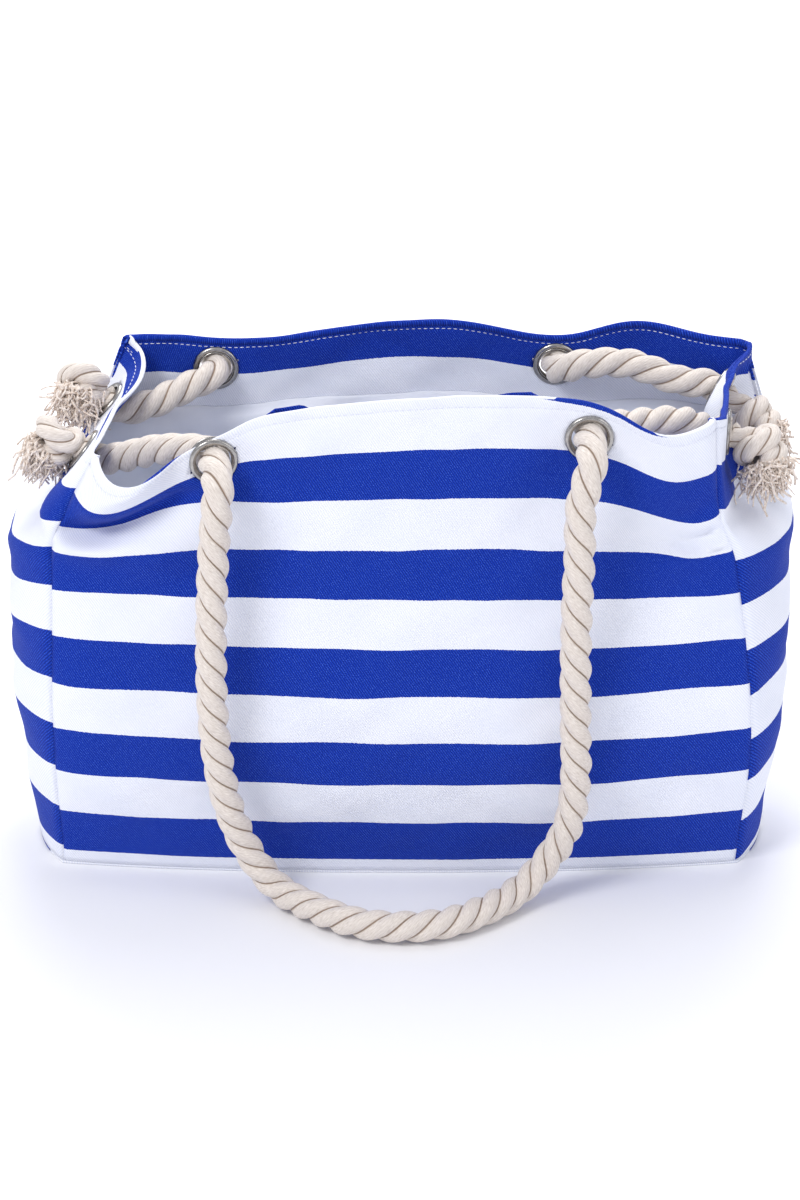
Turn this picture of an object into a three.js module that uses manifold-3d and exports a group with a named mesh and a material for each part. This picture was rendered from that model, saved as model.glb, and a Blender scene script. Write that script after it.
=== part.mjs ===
// A striped canvas beach bag with two rope handles, standing on its base.
// Millimetres, +Z up, front towards -Y, origin on the floor at the middle of the base.
import * as THREE from 'three';
import { mergeVertices } from 'three/addons/utils/BufferGeometryUtils.js';
import Module from 'manifold-3d';

const wasm = await Module();
wasm.setup();

// ---------- driving dimensions ----------
const CANVAS = 1.6; // thickness of the striped outer canvas
const FACING = 1.2; // thickness of the striped band inside the rim
const LINING = 1.0; // thickness of the thin white lining
const LAYER_GAP = 0.4; // air between two layers of cloth
const SEAM_GAP = 0.3; // air where two pieces meet
const FABRIC_HEIGHT = 340; // along the cloth, from the base seam to the rim
const FACING_FOOT = 278; // the facing covers the cloth from here up to the rim
const FOOT_Z = 2.1; // where the walls start, just above the base panel
const ROPE_R = 9.6;
const GROMMET_BORE_R = 11;
const GROMMET_FLANGE_R = 15;
const GROMMET_BELOW_RIM = 23; // from the rim to the grommet's middle
const GROMMET_WALL = 0.8; // metal of the barrel through the cloth
const HOLE_SLACK = 1.2; // how much wider the hole in the cloth is than the grommet's bore
const RECESS_SLACK = 0.5; // how far the pressed-flat cloth reaches past the flange
const CLOTH_PRESS = 0.1; // the cloth is left this much proud of its two pressed faces
const RECESS_DEPTH = 12; // more than any fold of cloth over a grommet stands proud
const MERGE_WITHIN = 1e-4; // points this close are one point
const ROUND_STEPS = 16; // sides of the round pieces
const COLUMNS = { front: 16, back: 16, left: 8, right: 8 }; // facets across each wall
const POCKET = { from: -0.43, to: 0.41, foot: 210, top: 338, depth: 17, sheet: 1.2, clear: 2 };

const WALL_STACK = CANVAS + LAYER_GAP + FACING; // all the cloth under a grommet

const blue = new THREE.MeshStandardMaterial({ color: 0x1e3cae, roughness: 0.9 });
const white = new THREE.MeshStandardMaterial({ color: 0xeef1fa, roughness: 0.9 });
const liningWhite = new THREE.MeshStandardMaterial({ color: 0xe4e7ef, roughness: 0.8 });
const nickel = new THREE.MeshStandardMaterial({ color: 0x96918a, roughness: 0.35, metalness: 1 });
const cotton = new THREE.MeshStandardMaterial({ color: 0xe2d8ca, roughness: 0.95 });

const bag = new THREE.Group();

function addMesh(name, geometry, material) {
  const mesh = new THREE.Mesh(geometry, material.clone());
  mesh.name = name;
  bag.add(mesh);
  return mesh;
}

// ---------- closed meshes and cuts ----------
function toSolid(geometry) {
  const bare = geometry.clone();
  bare.deleteAttribute('normal');
  bare.deleteAttribute('uv');
  const merged = mergeVertices(bare, MERGE_WITHIN);
  return new wasm.Manifold(new wasm.Mesh({
    numProp: 3,
    vertProperties: new Float32Array(merged.attributes.position.array),
    triVerts: new Uint32Array(merged.index.array),
  }));
}

function toGeometry(solid) {
  const mesh = solid.getMesh();
  const geometry = new THREE.BufferGeometry();
  geometry.setAttribute('position', new THREE.BufferAttribute(mesh.vertProperties, 3));
  geometry.setIndex(new THREE.BufferAttribute(mesh.triVerts, 1));
  geometry.computeVertexNormals();
  return geometry;
}

// ---------- the shape of the walls ----------
// Each seam and each wall's middle is one curve up the cloth: foot, belly, shoulder, waist and rim.
const LEVELS = [0, 105, 230, 272, FABRIC_HEIGHT];
const vec = (x, y, z) => new THREE.Vector3(x, y, z);
const SEAMS = {
  frontLeft: [vec(-221, -66, FOOT_Z), vec(-222, -80, 103), vec(-218, -76, 220),
    vec(-219, -79, 242), vec(-196, -82, 288)],
  frontRight: [vec(221, -66, FOOT_Z), vec(225, -80, 103), vec(211, -72, 217),
    vec(203, -63, 245), vec(197, -75, 311)],
  backRight: [vec(221, 66, FOOT_Z), vec(226, 80, 104), vec(242, 77, 222),
    vec(245, 72, 252), vec(228, 74, 312)],
  backLeft: [vec(-221, 66, FOOT_Z), vec(-224, 80, 104), vec(-218, 76, 222),
    vec(-205, 68, 254), vec(-182, 74, 315)],
};
const MIDDLES = {
  front: [vec(0, -79, FOOT_Z), vec(1, -102, 102), vec(2, -92, 223), vec(3, -89, 265), vec(4, -86, 329)],
  right: [vec(241, 0, FOOT_Z), vec(253, 0, 103), vec(250, 0, 214), vec(220, 3, 245), vec(209, 4, 305)],
  back: [vec(0, 79, FOOT_Z), vec(0, 102, 103), vec(0, 93, 226), vec(0, 85, 264), vec(0, 76, 322)],
  left: [vec(-241, 0, FOOT_Z), vec(-253, 0, 103), vec(-249, 0, 212), vec(-222, 3, 240), vec(-184, 8, 291)],
};
// The upright corners are rounded near the rim, from the shoulder up.
const CORNER_ROUND = { frontLeft: 26, frontRight: 14, backRight: 5, backLeft: 5 };
const ROUND_FROM = 225;
const ROUND_RISE = 60;
// u runs from -1 to 1 along a wall, towards +X on the front and back and towards +Y on the sides.
const WALLS = {
  front: { from: 'frontLeft', to: 'frontRight', inward: vec(0, 1, 0), along: 'x', span: 440 },
  back: { from: 'backLeft', to: 'backRight', inward: vec(0, -1, 0), along: 'x', span: 440 },
  left: { from: 'frontLeft', to: 'backLeft', inward: vec(1, 0, 0), along: 'y', span: 150 },
  right: { from: 'frontRight', to: 'backRight', inward: vec(-1, 0, 0), along: 'y', span: 150 },
};
const MIDDLE_SHAPE = 2.4; // how square the wall's bulge is across its width
const SEAM_HOLD = 16; // how close to a seam the cloth can be pushed

// ---------- grommets ----------
const GROMMETS = {
  front_left: { wall: 'front', u: -0.57 },
  front_right: { wall: 'front', u: 0.56 },
  back_left: { wall: 'back', u: -0.6 },
  back_right: { wall: 'back', u: 0.465 },
  side_left_front: { wall: 'left', u: -0.3 },
  side_left_back: { wall: 'left', u: 0.5 },
  side_right_front: { wall: 'right', u: -0.34 },
  side_right_back: { wall: 'right', u: 0.54 },
};
const FLAT_RADIUS = GROMMET_FLANGE_R + 2; // the cloth lies flat under a grommet

// Places where the soft wall is pushed out of its smooth shape.
const bump = (wall, u, level, du, dLevel, push) => ({ wall, u, level, du, dLevel, push });
const BUMPS = [
  bump('front', -0.85, 340, 0.16, 28, vec(0, -19, 0)), bump('front', -0.86, 340, 0.13, 42, vec(0, 0, -23)),
  bump('front', -0.9, 274, 0.13, 15, vec(0, 15, -8)), bump('front', -0.84, 242, 0.2, 11, vec(0, -6, 0)),
  bump('front', -0.62, 273, 0.13, 18, vec(0, 0, 6)), bump('front', -0.6, 340, 0.1, 20, vec(0, 0, -5)),
  bump('front', 0.82, 340, 0.12, 45, vec(0, -6, -16)), bump('front', 0.93, 266, 0.1, 24, vec(0, 6, -10)),
  bump('right', 0.45, 306, 0.34, 20, vec(-19, 0, 2)), bump('right', 0.5, 340, 0.5, 13, vec(9, 0, 0)),
  bump('left', 0.62, 340, 0.3, 14, vec(14, 0, 2)), bump('left', -0.75, 288, 0.25, 25, vec(-6, 0, 0)),
  bump('back', -0.5, 340, 0.2, 60, vec(0, 0, -9)), bump('back', 0.47, 340, 0.14, 45, vec(0, 2, -8)),
  bump('back', 0.7, 340, 0.1, 45, vec(0, 2, 8)), bump('back', 0.15, 340, 0.2, 45, vec(0, 0, 4)),
];

// A smooth curve through the five places, read at a height along the cloth.
function alongCurve(points, level) {
  let i = 0;
  while (i < LEVELS.length - 2 && level > LEVELS[i + 1]) i += 1;
  const slope = (k) => {
    const a = Math.max(k - 1, 0);
    const b = Math.min(k + 1, LEVELS.length - 1);
    return points[b].clone().sub(points[a]).divideScalar(LEVELS[b] - LEVELS[a]);
  };
  const h = LEVELS[i + 1] - LEVELS[i];
  const f = (level - LEVELS[i]) / h;
  const rise = f * f * (3 - 2 * f);
  const place = points[i].clone().lerp(points[i + 1], rise);
  place.addScaledVector(slope(i), h * f * (1 - f) ** 2);
  place.addScaledVector(slope(i + 1), -h * f * f * (1 - f));
  return place;
}

// The point of a wall at u across and level up the cloth, depth mm in from the outside.
function wallPoint(side, u, level, depth = 0) {
  const wall = WALLS[side];
  const start = alongCurve(SEAMS[wall.from], level);
  const end = alongCurve(SEAMS[wall.to], level);
  const place = start.clone().lerp(end, (u + 1) / 2);
  const chordMiddle = start.add(end).multiplyScalar(0.5);
  const bulge = alongCurve(MIDDLES[side], level).sub(chordMiddle);
  place.addScaledVector(bulge, 1 - Math.abs(u) ** MIDDLE_SHAPE);
  for (const pushed of BUMPS) {
    if (pushed.wall !== side) continue;
    const across = ((u - pushed.u) / pushed.du) ** 2;
    const up = ((level - pushed.level) / pushed.dLevel) ** 2;
    const keepSeam = 1 - Math.abs(u) ** SEAM_HOLD;
    place.addScaledVector(pushed.push, Math.exp(-(across + up) / 2) * keepSeam);
  }
  for (const [end, seam] of [[-1, wall.from], [1, wall.to]]) {
    const radius = CORNER_ROUND[seam] * THREE.MathUtils.clamp((level - ROUND_FROM) / ROUND_RISE, 0, 1);
    if (radius === 0) continue;
    const near = Math.max(1 - ((1 - end * u) * wall.span) / 2 / radius, 0);
    const corner = SEAMS[seam][0];
    const inwards = vec(-Math.sign(corner.x), -Math.sign(corner.y), 0).normalize();
    place.addScaledVector(inwards, (Math.SQRT2 - 1) * radius * near ** 2);
  }
  for (const grommet of Object.values(GROMMETS)) {
    if (grommet.wall !== side || !grommet.out) continue;
    const away = place.clone().sub(grommet.centre);
    const flatness = 1 - THREE.MathUtils.smoothstep(away.length(), FLAT_RADIUS, 2 * FLAT_RADIUS);
    place.addScaledVector(grommet.out, -away.dot(grommet.out) * flatness);
  }
  place.addScaledVector(wall.inward, depth);
  place[wall.along] -= Math.sign(u) * Math.abs(u) ** MIDDLE_SHAPE * depth;
  return place;
}

// Turns the diagonals on a box's low Y face to lie like those on its high Y face,
// so that two sheets bent side by side keep their gap.
function matchDiagonals(box) {
  const index = box.index.array;
  const { start, count } = box.groups[3];
  for (let i = start; i < start + count; i += 6) {
    const [a, b, d, , c] = index.slice(i, i + 6);
    index.set([a, b, c, a, c, d], i);
  }
}

// A curved sheet of cloth on a wall, between two depths, with a row of points at each level.
// Sheets on one wall share their rows and columns, so their facets stay side by side.
function wallSheet(side, { levels, depths, columns = COLUMNS[side], ends = [-1, 1] }) {
  const gap = (2 * SEAM_GAP) / WALLS[side].span;
  const middle = (ends[0] + ends[1]) / 2;
  const rows = levels.length - 1;
  const sheet = new THREE.BoxGeometry(ends[1] - ends[0] - 2 * gap, 1, 1, columns, 1, rows);
  matchDiagonals(sheet);
  const place = sheet.attributes.position;
  for (let i = 0; i < place.count; i += 1) {
    const depth = place.getY(i) > 0 ? depths[1] : depths[0];
    const level = levels[Math.round((place.getZ(i) + 0.5) * rows)];
    const p = wallPoint(side, middle + place.getX(i), level, depth);
    place.setXYZ(i, p.x, p.y, p.z);
  }
  // Depth runs towards +Y in the box: on the back and left walls that turns the mesh inside out.
  if (side === 'back' || side === 'left') {
    const index = sheet.index.array;
    for (let i = 0; i < index.length; i += 3) [index[i], index[i + 1]] = [index[i + 1], index[i]];
  }
  return sheet;
}

// Each grommet sits on the wall, its axis square to the cloth.
for (const grommet of Object.values(GROMMETS)) {
  const level = FABRIC_HEIGHT - GROMMET_BELOW_RIM;
  const reach = GROMMET_FLANGE_R;
  const uReach = (2 * reach) / WALLS[grommet.wall].span;
  const across = wallPoint(grommet.wall, grommet.u + uReach, level)
    .sub(wallPoint(grommet.wall, grommet.u - uReach, level));
  const up = wallPoint(grommet.wall, grommet.u, level + reach)
    .sub(wallPoint(grommet.wall, grommet.u, level - reach));
  grommet.centre = wallPoint(grommet.wall, grommet.u, level);
  grommet.out = across.cross(up).normalize();
  if (grommet.out.dot(WALLS[grommet.wall].inward) > 0) grommet.out.negate();
  grommet.turn = new THREE.Quaternion().setFromUnitVectors(vec(0, 1, 0), grommet.out);
  grommet.stack = WALL_STACK * Math.abs(grommet.out.dot(WALLS[grommet.wall].inward));
}

// A shape turned about the grommet's axis, with y = 0 on the outside of the canvas.
function turned(profile, grommet) {
  const points = profile.map(([r, y]) => new THREE.Vector2(r, y));
  points.push(points[0].clone());
  const ring = new THREE.LatheGeometry(points, ROUND_STEPS);
  ring.applyQuaternion(grommet.turn);
  ring.translate(grommet.centre.x, grommet.centre.y, grommet.centre.z);
  return ring;
}

function cutForGrommets(geometry, side) {
  let solid = toSolid(geometry);
  for (const grommet of Object.values(GROMMETS)) {
    if (grommet.wall !== side) continue;
    const cylinder = (radius, low, high) => {
      const shape = new THREE.CylinderGeometry(radius, radius, high - low, ROUND_STEPS);
      shape.translate(0, (low + high) / 2, 0);
      shape.applyQuaternion(grommet.turn);
      shape.translate(grommet.centre.x, grommet.centre.y, grommet.centre.z);
      return toSolid(shape);
    };
    const recess = GROMMET_FLANGE_R + RECESS_SLACK;
    solid = solid.subtract(cylinder(GROMMET_BORE_R + HOLE_SLACK, -2 * RECESS_DEPTH, 2 * RECESS_DEPTH));
    solid = solid.subtract(cylinder(recess, CLOTH_PRESS, RECESS_DEPTH));
    solid = solid.subtract(cylinder(recess, -RECESS_DEPTH, -grommet.stack - CLOTH_PRESS));
  }
  // A cut close to a fold can leave a loose sliver beside the cloth, which is dropped.
  const pieces = solid.decompose().sort((a, b) => b.volume() - a.volume());
  return toGeometry(pieces[0]);
}

// ---------- cloth ----------
const SIDES = ['front', 'back', 'left', 'right'];
const nameOf = { front: 'front_panel', back: 'back_panel', left: 'left_gusset', right: 'right_gusset' };
const facingDepths = [CANVAS + LAYER_GAP, WALL_STACK];
const liningDepths = [CANVAS + LAYER_GAP, CANVAS + LAYER_GAP + LINING];
const lowerLevels = [0, 30, 65, 105, 150, 190, 222, 240, 256];
const upperLevels = [FACING_FOOT, 298, 318, FABRIC_HEIGHT];
for (const side of SIDES) {
  const panel = wallSheet(side, { levels: [...lowerLevels, ...upperLevels], depths: [0, CANVAS] });
  addMesh(nameOf[side], cutForGrommets(panel, side), blue);
  const facing = wallSheet(side, { levels: upperLevels, depths: facingDepths });
  addMesh(`${side}_facing`, cutForGrommets(facing, side), white);
  const lining = wallSheet(side, { levels: [...lowerLevels, FACING_FOOT - SEAM_GAP], depths: liningDepths });
  addMesh(`${side}_lining`, lining, liningWhite);
}

// A flat panel inside the ring of the walls' feet.
function floorPanel(depth, low, high) {
  const outline = [];
  const uSteps = { front: 10, right: 6, back: 10, left: 6 };
  for (const side of ['front', 'right', 'back', 'left']) {
    const forward = side === 'front' || side === 'right';
    for (let i = 0; i < uSteps[side]; i += 1) {
      const u = (forward ? 1 : -1) * (-1 + (2 * i) / uSteps[side]);
      const p = wallPoint(side, u, 0, depth);
      outline.push(new THREE.Vector2(p.x, p.y));
    }
  }
  const upright = { depth: high - low, bevelEnabled: false };
  const panel = new THREE.ExtrudeGeometry(new THREE.Shape(outline), upright);
  panel.translate(0, 0, low);
  return panel;
}
addMesh('base_panel', floorPanel(0, 0, FOOT_Z - SEAM_GAP), blue);
addMesh('base_lining', floorPanel(liningDepths[1] + LAYER_GAP, FOOT_Z, FOOT_Z + LINING), liningWhite);

// ---------- slip pocket inside the front ----------
// Its sheet is folded round an open-topped slot, and its bottom and sides close against the lining.
function pocketSheet() {
  const { from, to, foot, top, depth, sheet, clear } = POCKET;
  const spread = (low, high) => [0, 0.25, 0.5, 0.75, 1].map((f) => low + f * (high - low));
  const near = WALL_STACK + clear;
  const block = (ends, levels, depths) => toSolid(wallSheet('front', { levels, depths, columns: 12, ends }));
  const outer = block([from, to], spread(foot, top), [near, near + depth + sheet]);
  const edge = (2 * sheet) / WALLS.front.span;
  const slot = block([from + edge, to - edge], spread(foot + sheet, top + 20), [near - 4, near + depth]);
  return toGeometry(outer.subtract(slot));
}
addMesh('inner_pocket', pocketSheet(), white);

// ---------- grommets and washers ----------
// Each profile is radius and height, with the outside of the canvas at height 0.
const flange = (stack) => [
  [GROMMET_BORE_R, -stack - 2.2], [GROMMET_BORE_R + GROMMET_WALL, -stack - 2.2],
  [GROMMET_BORE_R + GROMMET_WALL, 0.3], [GROMMET_FLANGE_R, 0.3],
  [GROMMET_FLANGE_R - 1, 1.7], [GROMMET_BORE_R + 0.6, 1.9],
];
const washer = (stack) => [
  [GROMMET_BORE_R + 1.1, -stack - 2], [GROMMET_FLANGE_R - 0.6, -stack - 1.6],
  [GROMMET_FLANGE_R, -stack - 0.4], [GROMMET_BORE_R + 1.1, -stack - 0.4],
];
for (const [name, grommet] of Object.entries(GROMMETS)) {
  addMesh(`grommet_${name}`, turned(flange(grommet.stack), grommet), nickel);
  addMesh(`washer_${name}`, turned(washer(grommet.stack), grommet), nickel);
}

// ---------- ropes ----------
const ROPE_SIDES = 8;
function ropeTube(points, steps) {
  const path = new THREE.CatmullRomCurve3(points, false, 'centripetal');
  const section = new THREE.Shape();
  for (let i = 0; i < ROPE_SIDES; i += 1) {
    const angle = (2 * Math.PI * i) / ROPE_SIDES;
    const place = [ROPE_R * Math.cos(angle), ROPE_R * Math.sin(angle)];
    if (i === 0) section.moveTo(...place);
    else section.lineTo(...place);
  }
  return new THREE.ExtrudeGeometry(section, { steps, bevelEnabled: false, extrudePath: path });
}

// A point on a grommet's axis, a distance outside the canvas.
const onAxis = (name, distance) => GROMMETS[name].centre.clone()
  .addScaledVector(GROMMETS[name].out, distance);

const STUB_END = 10; // where the rope through a panel's grommet stops, outside the canvas
const PIVOT_OUT = 26; // the loop turns about a line this far out
const INSIDE_STEPS = 10; // facets along a stretch inside the bag
const LOOP_STEPS = 44; // facets along a handle loop
const KNOT_OUT = 3; // where the rope meets its knot, outside the side grommet

// The loop's route from the left grommet down the front, round on the floor and up again.
const FLOOR = ROPE_R + 1.6;
const hangingLoop = (pivotLeft, pivotRight) => [
  pivotLeft,
  vec(-113, -113, 243), vec(-115, -117, 209), vec(-116, -119, 176), vec(-116, -120, 141),
  vec(-114, -119, 106), vec(-108, -117, 70), vec(-97, -115, 38), vec(-78, -121, FLOOR + 2),
  vec(-52, -145, FLOOR), vec(-27, -162, FLOOR), vec(0, -167, FLOOR), vec(27, -163, FLOOR),
  vec(52, -147, FLOOR), vec(76, -124, FLOOR + 2), vec(94, -115, 30), vec(106, -116, 54),
  vec(110, -118, 86), vec(109, -119, 128), vec(108, -119, 176), vec(108, -118, 210),
  vec(109, -116, 243), vec(109, -113, 270),
  pivotRight,
];
const loopOnBack = (points) => points.map((p) => vec(p.x, -p.y, p.z));

const STRETCHES = [
  {
    name: 'front_rope_left', knot: 'side_left_front', panel: 'front_left',
    inside: [vec(-174, -30, 271), vec(-148, -50, 284)],
  },
  {
    name: 'front_rope_right', knot: 'side_right_front', panel: 'front_right',
    inside: [vec(174, -38, 298), vec(146, -50, 301)],
  },
  {
    name: 'back_rope_left', knot: 'side_left_back', panel: 'back_left',
    inside: [vec(-163, 44, 278), vec(-141, 52, 286)],
  },
  {
    name: 'back_rope_right', knot: 'side_right_back', panel: 'back_right',
    inside: [vec(179, 44, 295), vec(150, 50, 304), vec(120, 56, 302)],
  },
];
for (const stretch of STRETCHES) {
  const points = [
    onAxis(stretch.knot, KNOT_OUT), onAxis(stretch.knot, -5), onAxis(stretch.knot, -10),
    ...stretch.inside,
    onAxis(stretch.panel, -12), onAxis(stretch.panel, -5), onAxis(stretch.panel, STUB_END),
  ];
  addMesh(stretch.name, ropeTube(points, INSIDE_STEPS), cotton);
}

const frontPivots = [onAxis('front_left', PIVOT_OUT), onAxis('front_right', PIVOT_OUT)];
const backPivots = [onAxis('back_left', PIVOT_OUT), onAxis('back_right', PIVOT_OUT)];
const frontLoop = hangingLoop(...frontPivots);
addMesh('front_handle_loop', ropeTube(frontLoop, LOOP_STEPS), cotton);
const backLoop = [backPivots[0], ...loopOnBack(frontLoop.slice(1, -1)), backPivots[1]];
addMesh('back_handle_loop', ropeTube(backLoop, LOOP_STEPS), cotton);

// ---------- stopper knots and their frayed ends ----------
// Each profile is radius and height along the way that the knot hangs.
const KNOT_PROFILE = [[0, -15], [9, -13], [15, -5], [15.5, 4], [10, 13], [0, 15]];
const FRAY_PROFILE = [[0, 0], [9, 0.5], [12, 8], [15, 22], [12, 28], [0, 29]];
const KNOT_SIDES = 12;
const KNOT_HALF = KNOT_PROFILE.at(-1)[1];
// How far out and down each knot's middle sits, and which way its end hangs.
const KNOTS = {
  front_left: { out: 24, sag: 7, droop: vec(-0.7, 0, -0.71) },
  back_left: { out: 24, sag: 5, droop: vec(-0.35, -0.75, -0.56) },
  front_right: { out: 24, sag: 13, droop: vec(0.42, -0.05, -0.91) },
  back_right: { out: 27, sag: 8, droop: vec(0.5, -0.6, -0.62) },
};
function solidOfTurning(profile, origin, axis) {
  const outline = profile.map(([r, y]) => new THREE.Vector2(r, y));
  const shape = new THREE.LatheGeometry(outline, KNOT_SIDES);
  shape.applyQuaternion(new THREE.Quaternion().setFromUnitVectors(vec(0, 1, 0), axis));
  shape.translate(origin.x, origin.y, origin.z);
  return shape;
}
for (const stretch of STRETCHES) {
  const place = stretch.name.replace('_rope', '');
  const knot = KNOTS[place];
  const axis = knot.droop.clone().normalize();
  const middle = onAxis(stretch.knot, knot.out).add(vec(0, 0, -knot.sag));
  addMesh(`knot_${place}`, solidOfTurning(KNOT_PROFILE, middle, axis), cotton);
  const fray = middle.clone().addScaledVector(axis, KNOT_HALF + SEAM_GAP);
  addMesh(`frayed_end_${place}`, solidOfTurning(FRAY_PROFILE, fray, axis), cotton);
}

export default bag;
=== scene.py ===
# %% [markdown]
# # A striped canvas beach bag
# The bag is four canvas walls sewn to a base, a facing and a thin lining inside, eight metal
# grommets, and two twisted cotton ropes, each with a stopper knot and a frayed end outside each
# gusset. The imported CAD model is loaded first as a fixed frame, and every soft piece is then
# rebuilt in the place that its plain CAD solid holds.

# %% Load the frame
import math

import bpy
import numpy as np
from mathutils import Matrix, Vector


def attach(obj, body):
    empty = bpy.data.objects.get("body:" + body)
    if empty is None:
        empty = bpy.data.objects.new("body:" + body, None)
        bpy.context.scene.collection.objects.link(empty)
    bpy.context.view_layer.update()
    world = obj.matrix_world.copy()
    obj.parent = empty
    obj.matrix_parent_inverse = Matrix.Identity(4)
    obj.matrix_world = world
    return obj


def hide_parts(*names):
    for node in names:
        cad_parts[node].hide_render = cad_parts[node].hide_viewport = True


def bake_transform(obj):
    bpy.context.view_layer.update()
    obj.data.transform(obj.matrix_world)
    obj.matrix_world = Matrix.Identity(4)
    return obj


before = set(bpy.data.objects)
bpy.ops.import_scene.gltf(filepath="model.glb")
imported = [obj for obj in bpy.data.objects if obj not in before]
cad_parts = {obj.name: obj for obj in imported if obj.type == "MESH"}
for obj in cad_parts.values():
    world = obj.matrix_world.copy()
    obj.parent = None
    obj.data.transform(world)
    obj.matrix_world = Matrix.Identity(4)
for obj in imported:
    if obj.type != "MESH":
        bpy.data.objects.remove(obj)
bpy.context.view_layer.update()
MM = 0.001

# %% [markdown]
# ## Camera, light and floor
# A long lens a little above the bag keeps its upright edges nearly upright. A wide soft light
# from the upper left gives the ropes their soft shadows to the right, and a bright surrounding
# keeps the white cloth white.

# %% Camera
VIEW_TILT = math.radians(25)
VIEW_DISTANCE = 1.9
VIEW_TARGET = Vector((0, -0.085, 0.17))
LENS_MM = 91.2
LENS_SHIFT = 0.0333
camera_data = bpy.data.cameras.new("camera")
camera = bpy.data.objects.new("camera", camera_data)
bpy.context.scene.collection.objects.link(camera)
towards_camera = Vector((0, -math.cos(VIEW_TILT), math.sin(VIEW_TILT)))
camera.location = VIEW_TARGET + VIEW_DISTANCE * towards_camera
camera.rotation_euler = (math.pi / 2 - VIEW_TILT, 0, 0)
camera_data.lens = LENS_MM
camera_data.shift_y = LENS_SHIFT
bpy.context.scene.camera = camera
bpy.context.scene.view_settings.view_transform = "Standard"
print("camera at", tuple(round(x, 3) for x in camera.location))


# %% Lights and floor
def srgb(hex_colour, alpha=1.0):
    """A hex colour as the linear values that a shader works in."""
    channels = [int(hex_colour[i:i + 2], 16) / 255 for i in (1, 3, 5)]
    linear = [c / 12.92 if c <= 0.04045 else ((c + 0.055) / 1.055) ** 2.4 for c in channels]
    return (*linear, alpha)


def add_node(tree, kind, links=None, **settings):
    """Adds one shader node, sets its settings and sockets, and links what feeds it."""
    node = tree.nodes.new(kind)
    for name, value in settings.items():
        if hasattr(node, name):
            setattr(node, name, value)
        else:
            node.inputs[name.replace("_", " ")].default_value = value
    for socket, source in (links or {}).items():
        tree.links.new(source, node.inputs[socket])
    return node


def area_light(name, place, size, power, aim=(0, 0, 0.15)):
    data = bpy.data.lights.new(name, "AREA")
    data.shape = "DISK"
    data.size = size
    data.energy = power
    light = bpy.data.objects.new(name, data)
    bpy.context.scene.collection.objects.link(light)
    light.location = place
    light.rotation_euler = (Vector(aim) - Vector(place)).to_track_quat("-Z", "Y").to_euler()


area_light("key", (-1.3, -1.5, 2.1), 1.0, 30)
area_light("fill", (1.9, -1.2, 1.3), 1.6, 7)
area_light("top", (0.2, 0.9, 2.4), 1.4, 16)
area_light("backdrop", (0, 2.6, 2.6), 2.5, 90, aim=(0, 3.2, 0))
world = bpy.data.worlds.new("studio")
bpy.context.scene.world = world
world.use_nodes = True
world.node_tree.nodes["Background"].inputs["Color"].default_value = srgb("#F4F6FF")
world.node_tree.nodes["Background"].inputs["Strength"].default_value = 0.7

bpy.ops.object.select_all(action="DESELECT")
bpy.ops.mesh.primitive_plane_add(size=9)
floor = bpy.context.object
floor.name = "floor"
floor_paper = bpy.data.materials.new("white_seamless_paper")
floor_paper.use_nodes = True
floor_shader = floor_paper.node_tree.nodes["Principled BSDF"]
floor_shader.inputs["Base Color"].default_value = srgb("#F5F5F7")
floor_shader.inputs["Roughness"].default_value = 0.8
floor.data.materials.append(floor_paper)
print("lights and floor are in")

# %% [markdown]
# ## The shape of the walls
# A filled canvas bag bulges over its middle, draws in at a waist above what fills it, and leans
# where its corners slump. Each wall is a smooth surface between two seams, with a bulge in the
# middle and a few pushed places, and the cloth's own folds are laid over that.

# %% Wall surface
RIM = 340.0
GROMMET_LEVEL = RIM - 23.0
FLANGE_RADIUS = 15.0
BORE_RADIUS = 11.0
LEVELS = np.array([0, 105, 230, 272, RIM])
SEAMS = {
    "front_left": [(-221, -66, 2.1), (-222, -80, 103), (-218, -76, 220), (-219, -79, 242), (-196, -82, 288)],
    "front_right": [(221, -66, 2.1), (225, -80, 103), (211, -72, 217), (203, -63, 245), (197, -75, 311)],
    "back_right": [(221, 66, 2.1), (226, 80, 104), (242, 77, 222), (245, 72, 252), (228, 74, 312)],
    "back_left": [(-221, 66, 2.1), (-224, 80, 104), (-218, 76, 222), (-205, 68, 254), (-182, 74, 315)],
}
MIDDLES = {
    "front": [(0, -79, 2.1), (1, -102, 102), (2, -92, 223), (3, -89, 265), (4, -86, 329)],
    "right": [(241, 0, 2.1), (253, 0, 103), (250, 0, 214), (220, 3, 245), (209, 4, 305)],
    "back": [(0, 79, 2.1), (0, 102, 103), (0, 93, 226), (0, 85, 264), (0, 76, 322)],
    "left": [(-241, 0, 2.1), (-253, 0, 103), (-249, 0, 212), (-222, 3, 240), (-184, 8, 291)],
}
# how round each upright seam's corner is near the rim, as a radius in mm
CORNER_ROUND = {"front_left": 26, "front_right": 14, "back_right": 5, "back_left": 5}
WALLS = {
    "front": dict(seams=("front_left", "front_right"), inward=(0, 1, 0), along=0, span=440),
    "back": dict(seams=("back_left", "back_right"), inward=(0, -1, 0), along=0, span=440),
    "left": dict(seams=("front_left", "back_left"), inward=(1, 0, 0), along=1, span=150),
    "right": dict(seams=("front_right", "back_right"), inward=(-1, 0, 0), along=1, span=150),
}
MIDDLE_SHAPE = 2.4
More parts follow.
